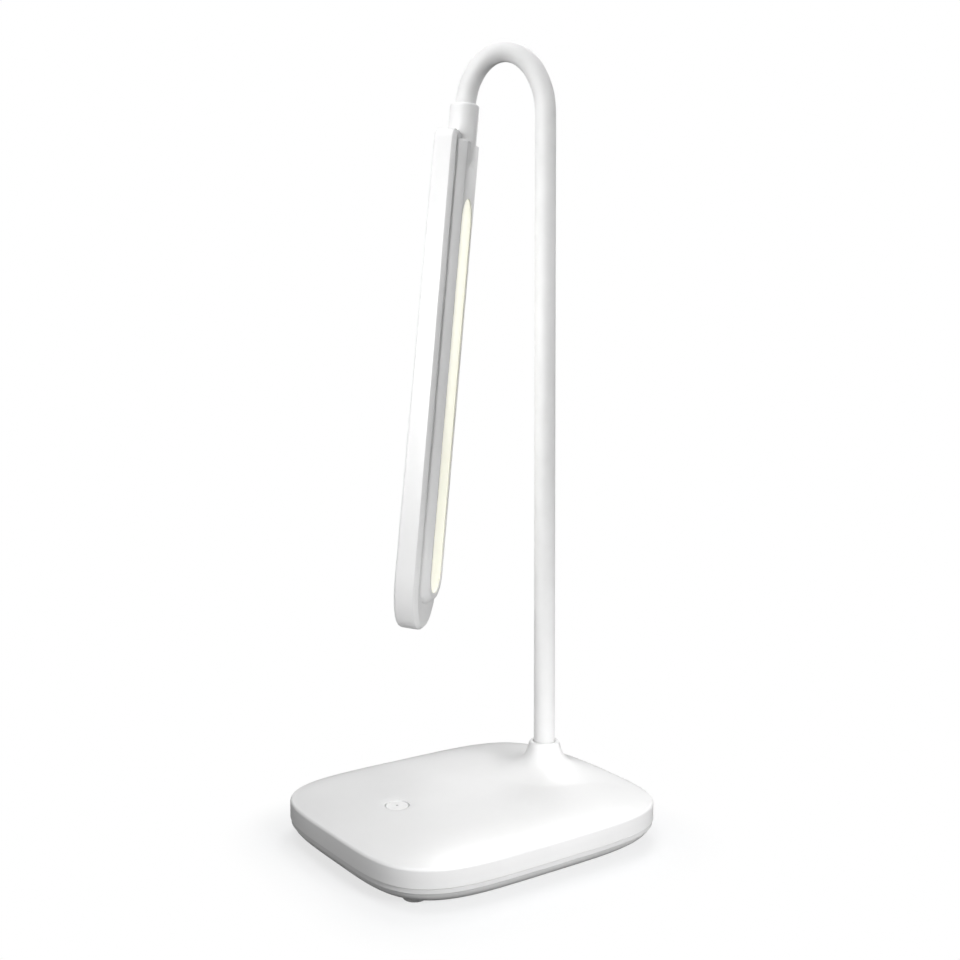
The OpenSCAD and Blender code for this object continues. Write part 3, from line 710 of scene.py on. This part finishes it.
class LAMP_OT_top_cover(bpy.types.Operator):
    """Builds the base's crowned top with its flared boss"""

    bl_idname = "lamp.top_cover"
    bl_label = "Top cover"

    def execute(self, context):
        size = context.scene.lamp_base
        turns = whole_turn(288)
        rings = []
        for row in top_cover_rows(turns, size):
            spots = [(*beside_post(turn, r), z) for turn, (r, z) in zip(turns, row)]
            rings.append([Vector((x * MM, y * MM, z * MM)) for x, y, z in spots])
        cover = piece_from(skin(rings), "top_cover", "base", "white_cover", node="base_top_cover")
        # the button's hole, then the two round ends and the middle of the charging socket's mouth
        cut = bmesh.new()
        hole_depth, hole_z = 20.0, 23.5
        button_place = Matrix.Translation((0, -size.button_y, hole_z * MM))
        cylinder_cutter(cut, 96, BUTTON_HOLE_R, hole_depth, button_place)
        along_y = Matrix.Rotation(math.pi / 2, 4, "X")
        for side in (-1, 1):
            end = Matrix.Translation((side * MOUTH_HALF * MM, MOUTH_Y * MM, MOUTH_Z * MM))
            cylinder_cutter(cut, 48, MOUTH_R, MOUTH_DEEP, end @ along_y)
        # slightly shorter than the ends, so that no faces lie on each other
        middle_deep = MOUTH_DEEP - 0.1
        made = bmesh.ops.create_cube(cut, size=1.0)
        bmesh.ops.scale(
            cut, verts=made["verts"], vec=(2 * MOUTH_HALF * MM, middle_deep * MM, 2 * MOUTH_R * MM)
        )
        bmesh.ops.translate(cut, verts=made["verts"], vec=(0, MOUTH_Y * MM, MOUTH_Z * MM))
        carve(cover, cut)
        return {"FINISHED"}


class LAMP_OT_bottom_cover(bpy.types.Operator):
    """Builds the base's lower cover, drawn in towards the table"""

    bl_idname = "lamp.bottom_cover"
    bl_label = "Bottom cover"

    def execute(self, context):
        size = context.scene.lamp_base
        turns = whole_turn(240)
        # how far the side is drawn in under the seam, and how much further at the table
        seam_in, drawn, power = 0.8, 7.6, 2.6
        lip_in, lip_z = 0.5, 9.0
        # a hair under the seam, so that the two covers' faces don't lie on each other
        lip_top = SEAM_Z - 0.01

        def drawn_in(z):
            share = (z - PAN_Z) / (SEAM_Z - PAN_Z)
            return seam_in + drawn * (1 - share) ** power

        # each step is an inset from the outline and a height
        steps = [(9.2, PAN_Z), (8.5, 2.28)]
        steps += [(drawn_in(z), z) for z in (2.6, 3.2, 4.0, 5.0, 6.0, 7.0, 8.0, 8.7)]
        steps += [(seam_in, 8.9), (lip_in, lip_z), (lip_in, lip_top)]
        steps += [(2.7, lip_top), (2.9, 9.2), (3.9, 6.6), (6.2, 5.0), (8.9, 4.4)]
        rings = []
        for inset, z in steps:
            spots = [base_outline(turn, inset, size) for turn in turns]
            rings.append([Vector((x * MM, y * MM, z * MM)) for x, y in spots])
        # its finish is darkened as painted shade where the side is drawn in under the top
        piece_from(skin(rings, closed=False), "bottom_cover", "base", "white_under",
                   node="base_bottom_cover")
        return {"FINISHED"}


class LAMP_OT_button(bpy.types.Operator):
    """Builds the push button's eased cap"""

    bl_idname = "lamp.button"
    bl_label = "Button"

    def execute(self, context):
        flange_w, flange_h = 0.0018, 0.0014
        stem_r = 0.002
        lens_ease = 0.0001
        hollow = 0.00012
        low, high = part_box("power_button")
        lens_low, lens_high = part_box("button_lens")
        centre = Vector(((low.x + high.x) / 2, (low.y + high.y) / 2, 0))
        flange = (high.x - low.x) / 2
        cap = flange - flange_w
        hole = (lens_high.x - lens_low.x) / 2
        top, under = high.z, lens_low.z
        ease = context.scene.lamp_button.edge
        profile = [(0, under), (hole, under), (hole, top - lens_ease), (hole + lens_ease, top)]
        # a finger's hollow in the cap, then its rounded edge
        for share in (0.2, 0.45, 0.7, 0.9):
            profile.append((cap * share, top - hollow * (1 - share**2)))
        for k in radians(90, 60, 30, 0):
            profile.append((cap - ease * (1 - math.cos(k)), top - ease * (1 - math.sin(k))))
        profile += [(cap, under), (flange, under), (flange, under - flange_h)]
        profile += [(stem_r, under - flange_h), (stem_r, low.z), (0, low.z)]
        bm = bmesh.new()
        line = [bm.verts.new(centre + Vector((r, 0, z))) for r, z in profile]
        edges = [bm.edges.new(pair) for pair in zip(line, line[1:])]
        bmesh.ops.spin(
            bm, geom=line + edges, cent=centre, axis=(0, 0, 1), angle=2 * math.pi, steps=96,
            use_merge=True, use_duplicate=False,
        )
        bmesh.ops.remove_doubles(bm, verts=bm.verts[:], dist=1e-7)
        # the cap takes the whiter finish, a painted highlight, in place of its slot's plain white
        piece_from(bm, "button_cap", "button", "white_cover", node="power_button",
                   finish="button_white")
        return {"FINISHED"}


class LAMP_OT_post(bpy.types.Operator):
    """Builds the sleeve over the upright post"""

    bl_idname = "lamp.post"
    bl_label = "Post sleeve"

    def execute(self, context):
        size = context.scene.lamp_sleeve
        low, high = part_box("post_sleeve")
        outer, tube_r = size.diameter / 2, 0.004
        steps = 24

        def circle(r, z):
            return [
                Vector((r * math.cos(turn), POST.y + r * math.sin(turn), z))
                for turn in whole_turn(size.smoothness)
            ]

        rings = [circle(outer, low.z + (high.z - low.z) * j / steps) for j in range(steps + 1)]
        rings += [circle(tube_r, high.z), circle(tube_r, low.z)]
        piece_from(skin(rings), "post_skin", "neck", "soft_sleeve", node="post_sleeve")
        return {"FINISHED"}


class LAMP_OT_arch(bpy.types.Operator):
    """Builds the sleeve over the bend, one length for each joint"""

    bl_idname = "lamp.arch"
    bl_label = "Arch sleeve"

    def execute(self, context):
        size = context.scene.lamp_sleeve
        outer, inner = size.diameter / 2, size.diameter / 2 - size.wall
        # where the bend starts, where the neck ends, and how far the sleeve goes on into the socket
        bend_z, neck_end_z, into_socket = 0.3688, 0.37535, 0.006
        joints = joint_points()
        across = Vector((math.cos(YAW), math.sin(YAW), 0))
        down = Matrix.Rotation(-LEAN, 3, across) @ Vector((0, 0, -1))
        start = Vector((POST.x, POST.y, bend_z))
        end = joints[-1] + down * ((joints[-1].z - neck_end_z) / abs(down.z) + into_socket)
        stations = [start] + [(a + b) / 2 for a, b in zip(joints, joints[1:])] + [end]
        for i, joint in enumerate(joints):
            a, b = stations[i], stations[i + 1]
            bm = skin(arch_rings(a, joint, b, across, outer, inner, size.smoothness))
            length = piece_from(bm, f"arch_skin_{i + 1}", None, "soft_sleeve")
            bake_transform(length)
        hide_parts("arch_sleeve")
        return {"FINISHED"}


def arch_rings(a, joint, b, across, outer, inner, sides):
    """Rings of a tube that curves from a to b round a joint: out over its outside, back inside."""
    steps = 10

    def circle(j, r):
        t = j / steps
        centre = (1 - t) ** 2 * a + 2 * t * (1 - t) * joint + t * t * b
        heading = ((1 - t) * (joint - a) + t * (b - joint)).normalized()
        side = heading.cross(across).normalized()
        return [
            centre + across * (r * math.cos(turn)) + side * (r * math.sin(turn))
            for turn in whole_turn(sides)
        ]

    there = [circle(j, outer) for j in range(steps + 1)]
    return there + [circle(j, inner) for j in range(steps, -1, -1)]


class LAMP_OT_head(bpy.types.Operator):
    """Builds the head's covers, socket and diffuser, easing the edges of the face cover and the diffuser"""

    bl_idname = "lamp.head"
    bl_label = "Head"

    def execute(self, context):
        ease = context.scene.lamp_head.edge / MM
        # node, piece, slot, its edges' rounding and the angle up to which it is shaded smooth
        for node, name, slot, width, smooth_angle in (
            ("head_back_cover", "back_cover", "white_cover", 0.0, 32),
            ("head_face_cover", "face_cover", "white_cover", ease, 32),
            ("neck_socket", "socket_collar", "white_cover", 0.0, 32),
            ("diffuser", "light_sheet", "diffuser_opal", 0.15, 60),
        ):
            bm = copied_bmesh(node)
            if width:
                ease_edges(bm, width, above=28)
            piece_from(bm, name, "head", slot, node=node, smooth_angle=smooth_angle)
        return {"FINISHED"}


class LAMP_OT_small_parts(bpy.types.Operator):
    """Builds the foot pads with an eased edge"""

    bl_idname = "lamp.small_parts"
    bl_label = "Foot pads"

    def execute(self, context):
        bm = copied_bmesh("foot_pads")
        ease_edges(bm, 0.3, above=40, segments=3)
        piece_from(bm, "pads", "base", "foot_rubber", node="foot_pads")
        return {"FINISHED"}


# ---------- the stage ----------


def maths(tree, operation, *sources, kind="ShaderNodeMath"):
    """A math node whose inputs are other nodes' outputs or plain values."""
    node = tree.nodes.new(kind)
    node.operation = operation
    for socket, source in zip(node.inputs, sources):
        if isinstance(source, bpy.types.NodeSocket):
            tree.links.new(source, socket)
        else:
            socket.default_value = source
    return node


def mix_to(tree, share, first, second, target):
    """Mixes two shaders into the target, the second by its share."""
    mix = tree.nodes.new("ShaderNodeMixShader")
    for socket, source in zip(mix.inputs, (share, first, second)):
        tree.links.new(source, socket)
    tree.links.new(mix.outputs[0], target)


def far_from_base(tree, base, round_r):
    """How far a point is outside the base, seen from above, plus the radius of its corners."""
    vector = "ShaderNodeVectorMath"
    corner = (base.width / 2 - round_r, base.depth / 2 - round_r, 0)
    place = tree.nodes.new("ShaderNodeTexCoord").outputs["Object"]
    place = maths(tree, "ABSOLUTE", place, kind=vector).outputs["Vector"]
    place = maths(tree, "SUBTRACT", place, corner, kind=vector).outputs["Vector"]
    place = maths(tree, "MAXIMUM", place, (0, 0, 0), kind=vector).outputs["Vector"]
    return maths(tree, "LENGTH", place, kind=vector).outputs["Value"]


def pale_floor(look, base):
    """The floor's material: partly lit paper under the base, plain white away from it."""
    ground = bpy.data.materials.new("Pale Floor")
    ground.use_nodes = True
    tree = ground.node_tree
    shader = tree.nodes["Principled BSDF"]
    shader.inputs["Roughness"].default_value = 0.7
    shader.inputs["Specular IOR Level"].default_value = 0.1
    glow = tree.nodes.new("ShaderNodeEmission")
    glow.inputs["Color"].default_value = (1, 1, 1, 1)
    glow.inputs["Strength"].default_value = 1.0
    seen = tree.nodes.new("ShaderNodeLightPath").outputs["Is Camera Ray"]
    # the floor looks pale, but throws little light back under the object
    factor, thrown, pale, result = 0, 6, 7, 2
    paper = tree.nodes.new("ShaderNodeMix")
    paper.data_type = "RGBA"
    paper.inputs[thrown].default_value = (look.floor_bounce,) * 3 + (1,)
    paper.inputs[pale].default_value = (0.9, 0.92, 0.94, 1)
    tree.links.new(seen, paper.inputs[factor])
    tree.links.new(paper.outputs[result], shader.inputs["Base Color"])
    # the share of plain white grows from just inside the base's outline to a little outside it
    round_r, fade_start, fade_stop = 0.03, -0.004, 0.035
    fade = tree.nodes.new("ShaderNodeMapRange")
    fade.interpolation_type = "SMOOTHSTEP"
    fade.inputs["From Min"].default_value = round_r + fade_start
    fade.inputs["From Max"].default_value = round_r + fade_stop
    fade.inputs["To Min"].default_value = look.floor_light
    fade.inputs["To Max"].default_value = 1.0
    tree.links.new(far_from_base(tree, base, round_r), fade.inputs["Value"])
    share = maths(tree, "MULTIPLY", seen, fade.outputs["Result"]).outputs["Value"]
    surface = tree.nodes["Material Output"].inputs["Surface"]
    mix_to(tree, share, shader.outputs[0], glow.outputs[0], surface)
    return ground


def studio_world(look):
    """The world: plain white where it is seen, reflected or seen through, dim as a light."""
    world = bpy.data.worlds.new("Studio")
    world.use_nodes = True
    tree = world.node_tree
    back = tree.nodes["Background"]
    plain = tree.nodes.new("ShaderNodeBackground")
    for shader, strength in ((back, look.ambient), (plain, 1.0)):
        shader.inputs["Color"].default_value = (1, 1, 1, 1)
        shader.inputs["Strength"].default_value = strength
    rays = tree.nodes.new("ShaderNodeLightPath").outputs
    share = maths(tree, "MAXIMUM", rays["Is Camera Ray"], rays["Is Transmission Ray"])
    share = maths(tree, "MAXIMUM", share.outputs["Value"], rays["Is Glossy Ray"])
    surface = tree.nodes["World Output"].inputs["Surface"]
    mix_to(tree, share.outputs["Value"], back.outputs[0], plain.outputs[0], surface)
    return world


def area_light(name, place, aim, size, power, spread=180):
    """A rectangular light that points from its place at its aim."""
    data = bpy.data.lights.new(name, "AREA")
    data.spread = math.radians(spread)
    data.shape = "RECTANGLE"
    data.size, data.size_y = size
    data.energy = power
    light = bpy.data.objects.new(name, data)
    light.location = place
    light.rotation_mode = "QUATERNION"
    light.rotation_quaternion = (Vector(aim) - Vector(place)).to_track_quat("-Z", "Y")
    bpy.context.scene.collection.objects.link(light)


class LAMP_OT_stage(bpy.types.Operator):
    """Builds the plain floor and the soft lights"""

    bl_idname = "lamp.stage"
    bl_label = "Stage"

    def execute(self, context):
        look = context.scene.lamp_stage
        bm = bmesh.new()
        bmesh.ops.create_circle(bm, cap_ends=True, segments=96, radius=1.6)
        mesh = bpy.data.meshes.new("Floor")
        bm.to_mesh(mesh)
        bm.free()
        floor = bpy.data.objects.new("Floor", mesh)
        context.scene.collection.objects.link(floor)
        mesh.materials.append(pale_floor(look, context.scene.lamp_base))
        context.scene.world = studio_world(look)

        area_light("Overhead", (0.1, -0.25, 1.0), (0, 0, 0), (0.5, 0.5), look.overhead)
        area_light("High Back", (-0.3, 0.4, 1.0), (0, 0, 0.1), (0.4, 0.4), look.high_back)
        # the rest are narrow beams, and the upper ones leave the base's front wall dim
        beam = 40
        area_light("Side", (0.57, 0.02, 0.26), (0.05, 0, 0.01), (0.35, 0.12), look.side, beam)
        upper, upright = (-0.02, 0, 0.28), (0.25, 0.35)
        area_light("Front", (0.32, -0.72, 0.3), upper, upright, look.front, beam)
        area_light("Left", (-0.1, -0.8, 0.3), upper, upright, look.left, beam)
        area_light("Back Side", (0.45, 0.65, 0.3), upper, upright, look.back_side, beam)
        context.scene.view_settings.view_transform = "Standard"
        return {"FINISHED"}


class LAMP_PT_panel(bpy.types.Panel):
    """Lists the lamp's sizes, finishes and steps"""

    bl_idname = "LAMP_PT_panel"
    bl_label = "Folding desk lamp"
    bl_space_type = "VIEW_3D"
    bl_region_type = "UI"
    bl_category = "Lamp"

    def draw(self, context):
        layout = self.layout
        scene = context.scene
        for group, label in (
            (scene.lamp_base, "Base"),
            (scene.lamp_sleeve, "Sleeve"),
            (scene.lamp_button, "Button"),
            (scene.lamp_head, "Head"),
            (scene.lamp_finish, "Finish"),
            (scene.lamp_stage, "Stage"),
        ):
            box = layout.box()
            box.label(text=label)
            for key in group.__annotations__:
                box.prop(group, key)
        for step in STEPS:
            layout.operator(step.bl_idname)


GROUPS = (
    ("lamp_base", LampBaseSize),
    ("lamp_sleeve", LampSleeveSize),
    ("lamp_button", LampButtonSize),
    ("lamp_head", LampHeadSize),
    ("lamp_finish", LampFinish),
    ("lamp_stage", LampStage),
)
STEPS = (
    LAMP_OT_camera,
    LAMP_OT_finishes,
    LAMP_OT_top_cover,
    LAMP_OT_bottom_cover,
    LAMP_OT_button,
    LAMP_OT_post,
    LAMP_OT_arch,
    LAMP_OT_head,
    LAMP_OT_small_parts,
    LAMP_OT_stage,
)


def register():
    for name, group in GROUPS:
        bpy.utils.register_class(group)
        setattr(bpy.types.Scene, name, bpy.props.PointerProperty(type=group))
    for step in STEPS:
        bpy.utils.register_class(step)
    bpy.utils.register_class(LAMP_PT_panel)


def unregister():
    bpy.utils.unregister_class(LAMP_PT_panel)
    for step in reversed(STEPS):
        bpy.utils.unregister_class(step)
    for name, group in reversed(GROUPS):
        delattr(bpy.types.Scene, name)
        bpy.utils.unregister_class(group)


def main():
    register()
    bpy.ops.lamp.camera()
    bpy.ops.lamp.finishes()
    bpy.ops.lamp.top_cover()
    bpy.ops.lamp.bottom_cover()
    bpy.ops.lamp.button()
    bpy.ops.lamp.post()
    bpy.ops.lamp.arch()
    bpy.ops.lamp.head()
    bpy.ops.lamp.small_parts()
    bpy.ops.lamp.stage()


if __name__ == "__main__":
    main()
